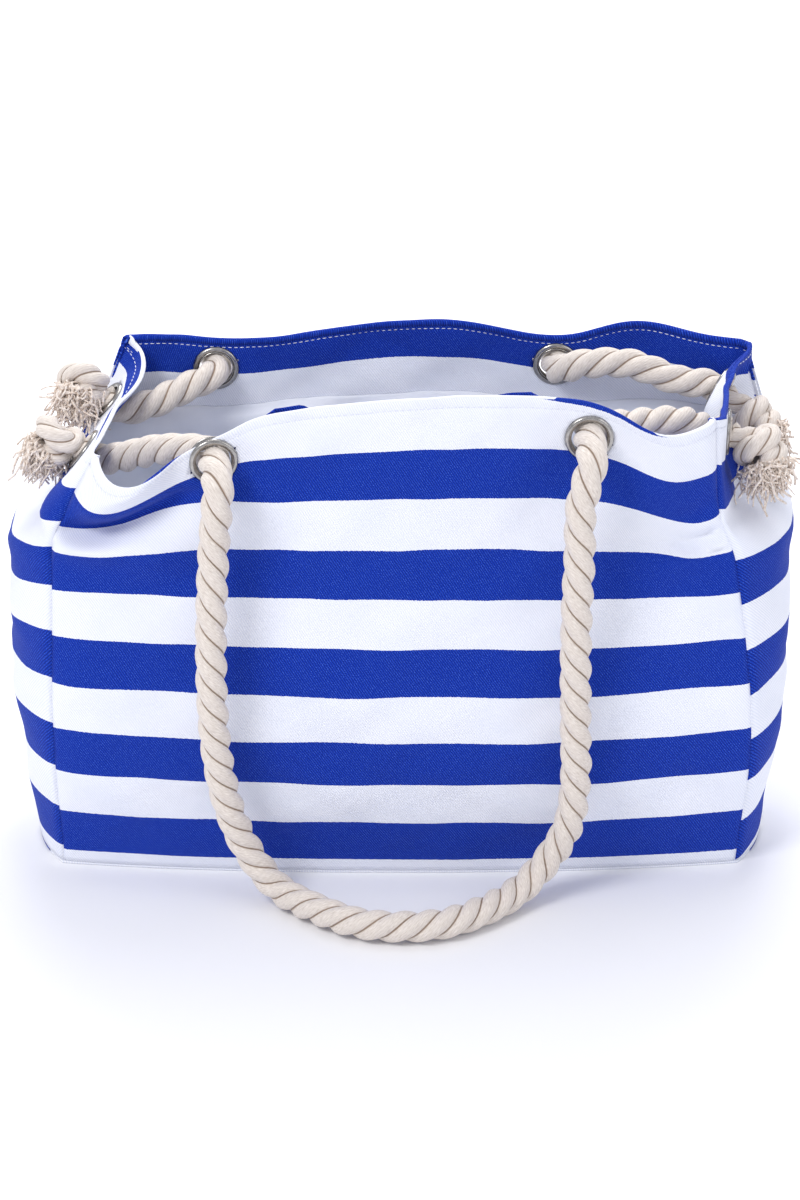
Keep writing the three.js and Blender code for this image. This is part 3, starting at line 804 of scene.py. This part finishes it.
def pocket_lower(u, level):
    """Lowers the pocket's mouth, so that at the view's tilt only its two ends stand above the rim."""
    hidden = (5.2 + pocket_gape(u, POCKET_TOP)) * math.tan(VIEW_TILT) + 1.5
    shown = 9.5 * (1 - smooth_step(u, -0.34, -0.25))
    shown = shown + 4.4 * smooth_step(u, 0.06, 0.16) + 4.6 * smooth_step(u, 0.2, 0.34)
    up = np.clip((level - POCKET_FOOT) / (POCKET_TOP - POCKET_FOOT), 0, 1)
    return np.maximum(hidden - shown, -1.5) * up


pocket = cloth_sheet("inner_pocket_cloth", "front", POCKET_FOOT, POCKET_TOP, 5.2, 1.0,
                     lambda u, level: level + 340 - POCKET_TOP + 16, POCKET_U, wave=pocket_gape,
                     lower=pocket_lower)
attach(pocket, "bag")
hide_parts("inner_pocket")
cloth["inner_pocket"] = pocket
print("pocket:", len(pocket.data.polygons), "faces")

# %% [markdown]
# ## Grommets
# A grommet is a brass stamping, plated: a rounded flange with a short barrel, pressed through the
# cloth and rolled over a flat washer inside. A circle is extruded step by step through the
# profile, which is how the metal itself is drawn from sheet.


# %% Grommets and washers
def drawn_ring(name, profile, sides=48):
    """A closed ring: a circle extruded and scaled from point to point of its profile, in mm."""
    bpy.ops.object.select_all(action="DESELECT")
    radius, height = profile[0]
    bpy.ops.mesh.primitive_circle_add(vertices=sides, radius=radius * MM, location=(0, 0, height * MM))
    ring = bpy.context.object
    ring.name = name
    bpy.ops.object.transform_apply(location=True)
    bpy.ops.object.mode_set(mode="EDIT")
    bpy.ops.mesh.select_all(action="SELECT")
    for next_radius, next_height in profile[1:] + profile[:1]:
        bpy.ops.mesh.extrude_region_move(
            TRANSFORM_OT_translate={"value": (0, 0, (next_height - height) * MM)})
        grow = next_radius / radius
        bpy.ops.transform.resize(value=(grow, grow, 1), center_override=(0, 0, 0))
        radius, height = next_radius, next_height
    bpy.ops.mesh.select_all(action="SELECT")
    bpy.ops.mesh.remove_doubles(threshold=0.00001)
    bpy.ops.mesh.normals_make_consistent(inside=False)
    bpy.ops.mesh.faces_shade_smooth()
    bpy.ops.object.mode_set(mode="OBJECT")
    return ring


def round_profile(r_low, r_high, height, low, count=9):
    """The rounded top of a flange from its inner to its outer edge."""
    turns = np.linspace(math.pi, 0, count)
    middle, half = (r_low + r_high) / 2, (r_high - r_low) / 2
    return [(middle + half * math.cos(t), low + height * math.sin(t)) for t in turns]


STACK = 3.2
flange_profile = [(BORE_RADIUS - 0.1, -STACK - 1.9),
                  *round_profile(BORE_RADIUS - 0.1, FLANGE_RADIUS, 1.9, 0.2),
                  (FLANGE_RADIUS - 0.5, 0.02), (BORE_RADIUS + 0.8, 0.02), (BORE_RADIUS + 0.8, -STACK - 1.4)]
washer_profile = [(BORE_RADIUS + 0.9, -STACK - 0.1), (BORE_RADIUS + 0.9, -STACK - 1.5),
                  (BORE_RADIUS + 1.6, -STACK - 1.8), (FLANGE_RADIUS - 1.0, -STACK - 1.5),
                  (FLANGE_RADIUS, -STACK - 0.6), (FLANGE_RADIUS, -STACK - 0.1)]
grommet_ring = drawn_ring("grommet_pattern", flange_profile)
washer_ring = drawn_ring("washer_pattern", washer_profile)
metal = {}
for name, grommet in GROMMETS.items():
    turn = Vector((0, 0, 1)).rotation_difference(Vector(grommet["out"])).to_matrix().to_4x4()
    place = Matrix.Translation(Vector(grommet["centre"] * MM)) @ turn
    for pattern, node in ((grommet_ring, f"grommet_{name}"), (washer_ring, f"washer_{name}")):
        mesh = pattern.data.copy()
        mesh.transform(place)
        piece = bpy.data.objects.new(f"{node}_metal", mesh)
        bpy.context.scene.collection.objects.link(piece)
        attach(piece, "bag")
        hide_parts(node)
        metal[node] = piece
for pattern in (grommet_ring, washer_ring):
    bpy.data.objects.remove(pattern)
print("metal rings:", len(metal))

# %% [markdown]
# ## Stitches
# The rim is top-stitched about 6 mm below its edge. One stitch is a small rounded bead of thread,
# and the row repeats it along the cloth.


# %% Top-stitching
def stitch_shape():
    bpy.ops.object.select_all(action="DESELECT")
    bpy.ops.mesh.primitive_uv_sphere_add(segments=6, ring_count=5, radius=1)
    bead = bpy.context.object
    points = np.array([v.co[:] for v in bead.data.vertices])
    faces = [tuple(p.vertices) for p in bead.data.polygons]
    bpy.data.objects.remove(bead)
    return points, faces


BEAD_POINTS, BEAD_FACES = stitch_shape()
STITCH = dict(length=2.9, pitch=3.9, width=0.62)


def stitch_row(name, side, level, depth, u_range=(-0.985, 0.985)):
    """A row of stitches along a wall at one level, on the outside or the inside of the cloth."""
    fine = np.linspace(*u_range, 400)
    line = wall_points(side, fine, np.full(400, level), depth)
    run = np.concatenate([[0], np.cumsum(np.linalg.norm(np.diff(line, axis=0), axis=1))])
    middles = np.arange(STITCH["pitch"] / 2, run[-1], STITCH["pitch"])
    points, faces = [], []
    for s in middles:
        u = np.interp([s - 0.5, s, s + 0.5], run, fine)
        a, centre, b = wall_points(side, u, np.full(3, level), depth)
        up = wall_points(side, u[1:2], np.array([level + 1.0]), depth)[0] - centre
        along = (b - a) / np.linalg.norm(b - a)
        out = np.cross(along, up)
        out /= np.linalg.norm(out)
        up = np.cross(out, along)
        half = STITCH["length"] / 2
        base = len(points)
        points.extend(centre + BEAD_POINTS @ np.array([along * half, up * STITCH["width"] / 2, out * 0.45]))
        faces.extend(tuple(base + i for i in face) for face in BEAD_FACES)
    row = new_mesh(name, points, faces)
    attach(row, "bag")
    return row


stitches = []
for side in SIDES:
    stitches.append(stitch_row(f"{side}_rim_stitches_outside", side, RIM - 6, 0.35))
    stitches.append(stitch_row(f"{side}_rim_stitches_inside", side, RIM - 6, 2.7))
print("stitch rows:", len(stitches))

# %% [markdown]
# ## Materials
# The canvas is cotton drill, dyed in the yarn, so its blue carries pale flecks where the white
# weft shows, and its face has a fine diagonal rib. Real threads are about 0.5 mm apart, which is
# too fine to show at this size, so the rib is drawn at 1.4 mm.


# %% Canvas
def stripes(tree, height):
    """1 on blue and 0 on white, from the height up the cloth in metres."""
    stripe = 0.033
    counted = add_node(tree, "ShaderNodeMath", {0: height}, operation="MULTIPLY_ADD")
    counted.inputs[1].default_value = -1 / stripe
    counted.inputs[2].default_value = 0.340 / stripe + 20
    folded = add_node(tree, "ShaderNodeMath", {0: counted.outputs[0]}, operation="MODULO")
    folded.inputs[1].default_value = 2.0
    shifted = add_node(tree, "ShaderNodeMath", {0: folded.outputs[0]}, operation="GREATER_THAN")
    shifted.inputs[1].default_value = 1.0
    return shifted.outputs[0]


def woven(name, colour_of, roughness=0.9, rib=1.4, rib_height=0.3):
    """A woven cotton material. colour_of(tree, parts) gives the colour from the cloth's own map."""
    material = bpy.data.materials.new(name)
    material.use_nodes = True
    tree = material.node_tree
    shader = tree.nodes["Principled BSDF"]
    shader.inputs["Roughness"].default_value = roughness
    shader.inputs["Specular IOR Level"].default_value = 0.15
    shader.inputs["Sheen Weight"].default_value = 0.05
    shader.inputs["Sheen Roughness"].default_value = 0.5
    place = add_node(tree, "ShaderNodeUVMap", uv_map="cloth")
    uneven = add_node(tree, "ShaderNodeTexNoise", {"Vector": place.outputs[0]}, Scale=900.0, Detail=1.0)
    split = add_node(tree, "ShaderNodeSeparateXYZ", {0: place.outputs[0]})
    ragged = add_node(tree, "ShaderNodeMath", {0: uneven.outputs["Fac"], 2: split.outputs["Y"]},
                      operation="MULTIPLY_ADD")
    ragged.inputs[1].default_value = 0.0009
    flecks = add_node(tree, "ShaderNodeTexNoise", {"Vector": place.outputs[0]}, Scale=1500.0, Detail=2.0)
    patches = add_node(tree, "ShaderNodeTexNoise", {"Vector": place.outputs[0]}, Scale=26.0, Detail=3.0)
    turned = add_node(tree, "ShaderNodeMapping", {"Vector": place.outputs[0]})
    turned.inputs["Rotation"].default_value = (0, 0, math.radians(-33))
    ribs = add_node(tree, "ShaderNodeTexWave", {"Vector": turned.outputs[0]}, wave_type="BANDS",
                    Scale=1000 / rib / 6.2832 * 2, Distortion=1.2, Detail=1.0)
    ribs.inputs["Detail Scale"].default_value = 2.0
    parts = dict(height=ragged.outputs[0], flecks=flecks.outputs["Fac"], patches=patches.outputs["Fac"],
                 ribs=ribs.outputs["Fac"])
    tree.links.new(colour_of(tree, parts), shader.inputs["Base Color"])
    relief = add_node(tree, "ShaderNodeMath",
                      {0: ribs.outputs["Fac"], 1: flecks.outputs["Fac"]}, operation="ADD")
    bump = add_node(tree, "ShaderNodeBump", {"Height": relief.outputs[0]})
    bump.inputs["Strength"].default_value = rib_height
    bump.inputs["Distance"].default_value = 0.0004
    tree.links.new(bump.outputs[0], shader.inputs["Normal"])
    return material


def mixed(tree, factor, first, second):
    """first where factor is 0 and second where it is 1: each a colour or a socket."""
    mix = add_node(tree, "ShaderNodeMix", data_type="RGBA")
    tree.links.new(factor, mix.inputs["Factor"])
    for socket, value in ((mix.inputs[6], first), (mix.inputs[7], second)):
        if isinstance(value, tuple):
            socket.default_value = value
        else:
            tree.links.new(value, socket)
    return mix.outputs[2]


def banded(tree, value, low, high):
    ramp = add_node(tree, "ShaderNodeMapRange", {"Value": value})
    ramp.inputs["From Min"].default_value = low
    ramp.inputs["From Max"].default_value = high
    return ramp.outputs[0]


def striped_colour(tree, parts):
    blue = mixed(tree, banded(tree, parts["flecks"], 0.5, 0.68), srgb("#0D37AE"), srgb("#456BD8"))
    # the rib lines darken the blue: painted shade in the grooves between the twill's ribs
    blue = mixed(tree, banded(tree, parts["ribs"], 0.0, 0.8), srgb("#06207E"), blue)
    white = mixed(tree, banded(tree, parts["patches"], 0.35, 0.75), srgb("#F6F7FD"), srgb("#ECEFF9"))
    # the rib lines darken the white the same way: painted shade in the grooves between the ribs
    white = mixed(tree, banded(tree, parts["ribs"], 0.0, 0.8), srgb("#E2E6F3"), white)
    return mixed(tree, stripes(tree, parts["height"]), white, blue)


def plain_colour(tree, parts):
    return mixed(tree, banded(tree, parts["patches"], 0.35, 0.75), srgb("#F1F3FA"), srgb("#E2E6F2"))


canvas = woven("yarn_dyed_cotton_drill", striped_colour)
lining_cloth = woven("thin_polyester_lining", plain_colour, roughness=0.6, rib=0.9, rib_height=0.12)
for node, piece in cloth.items():
    piece.data.materials.append(lining_cloth if "lining" in node else canvas)

# %% Rope, thread and metal
YARNS = 20  # yarns round one strand
rope_cotton = bpy.data.materials.new("three_strand_cotton")
rope_cotton.use_nodes = True
tree = rope_cotton.node_tree
shader = tree.nodes["Principled BSDF"]
shader.inputs["Roughness"].default_value = 0.95
shader.inputs["Sheen Weight"].default_value = 0.3
shader.inputs["Specular IOR Level"].default_value = 0.2
place = add_node(tree, "ShaderNodeUVMap", uv_map="cloth")
yarn_map = add_node(tree, "ShaderNodeMapping", {"Vector": place.outputs[0]})
yarn_map.inputs["Scale"].default_value = (1, 0.9 / (YARNS * LAY_LENGTH * MM / 3), 1)
yarn_map.inputs["Rotation"].default_value = (0, 0, math.radians(38))
fibre_map = add_node(tree, "ShaderNodeMapping", {"Vector": place.outputs[0]})
fibre_map.inputs["Scale"].default_value = (70, 420, 1)
fibres = add_node(tree, "ShaderNodeTexNoise", {"Vector": fibre_map.outputs[0]}, Scale=1.0, Detail=3.0)
# a yarn lies along the rope, so it crosses its own strand: one band of the wave is one yarn
yarns = add_node(tree, "ShaderNodeTexWave", {"Vector": yarn_map.outputs[0]}, wave_type="BANDS",
                 Scale=YARNS / 3.1416, Distortion=1.6, Detail=2.0)
yarns.inputs["Detail Scale"].default_value = 3.0
relief = add_node(tree, "ShaderNodeMath",
                  {0: yarns.outputs["Fac"], 1: fibres.outputs["Fac"]}, operation="ADD")
colour = mixed(tree, banded(tree, fibres.outputs["Fac"], 0.3, 0.65), srgb("#CDC1B6"), srgb("#EFE6DD"))
colour = mixed(tree, banded(tree, yarns.outputs["Fac"], -0.9, 0.35), srgb("#CFC4BA"), colour)
# the edge of a strand, pressed against the next one, lies in shade: this dark band is painted shade along the
# strand's edge
turn = add_node(tree, "ShaderNodeSeparateXYZ", {0: place.outputs[0]})
off_top = add_node(tree, "ShaderNodeMath", {0: turn.outputs["X"]}, operation="SUBTRACT")
off_top.inputs[1].default_value = 0.5
from_top = add_node(tree, "ShaderNodeMath", {0: off_top.outputs[0]}, operation="ABSOLUTE")
colour = mixed(tree, banded(tree, from_top.outputs[0], 0.218, 0.243), colour, srgb("#927D6B"))
tree.links.new(colour, shader.inputs["Base Color"])
bump = add_node(tree, "ShaderNodeBump", {"Height": relief.outputs[0]})
bump.inputs["Strength"].default_value = 0.35
bump.inputs["Distance"].default_value = 0.0005
tree.links.new(bump.outputs[0], shader.inputs["Normal"])
for piece in [r[0] for r in ropes.values()] + list(knots.values()):
    piece.data.materials.append(rope_cotton)

# unlaid cotton yarn: the same fibre without the rope's painted shade at the strand edges; its pale colour is
# partly the yarn's own and partly painted light that offsets the shade the yarns cast on one another, and it
# is fuzzier
loose_cotton = bpy.data.materials.new("unlaid_cotton_yarn")
loose_cotton.use_nodes = True
tree = loose_cotton.node_tree
shader = tree.nodes["Principled BSDF"]
shader.inputs["Roughness"].default_value = 0.95
shader.inputs["Sheen Weight"].default_value = 0.5
shader.inputs["Specular IOR Level"].default_value = 0.15
where = add_node(tree, "ShaderNodeTexCoord")
tufts = add_node(tree, "ShaderNodeTexNoise", {"Vector": where.outputs["Object"]}, Scale=500.0, Detail=2.0)
shade = mixed(tree, banded(tree, tufts.outputs["Fac"], 0.35, 0.6), srgb("#D2BFAE"), srgb("#F6EBE1"))
tree.links.new(shade, shader.inputs["Base Color"])
for piece in frays.values():
    piece.data.materials.append(loose_cotton)

thread = bpy.data.materials.new("polyester_sewing_thread")
thread.use_nodes = True
thread.node_tree.nodes["Principled BSDF"].inputs["Base Color"].default_value = srgb("#E6E8F2")
thread.node_tree.nodes["Principled BSDF"].inputs["Roughness"].default_value = 0.6
for row in stitches:
    row.data.materials.append(thread)

nickel = bpy.data.materials.new("antique_nickel_plate")
nickel.use_nodes = True
tree = nickel.node_tree
shader = tree.nodes["Principled BSDF"]
shader.inputs["Metallic"].default_value = 1.0
where = add_node(tree, "ShaderNodeTexCoord")
wear = add_node(tree, "ShaderNodeTexNoise", {"Vector": where.outputs["Object"]}, Scale=400.0, Detail=3.0)
nickel_colour = mixed(tree, wear.outputs["Fac"], srgb("#86837F"), srgb("#C2BFBB"))
tree.links.new(nickel_colour, shader.inputs["Base Color"])
rough = add_node(tree, "ShaderNodeMapRange", {"Value": wear.outputs["Fac"]})
rough.inputs["To Min"].default_value = 0.16
rough.inputs["To Max"].default_value = 0.32
tree.links.new(rough.outputs[0], shader.inputs["Roughness"])
for piece in metal.values():
    piece.data.materials.append(nickel)
print("materials are on")
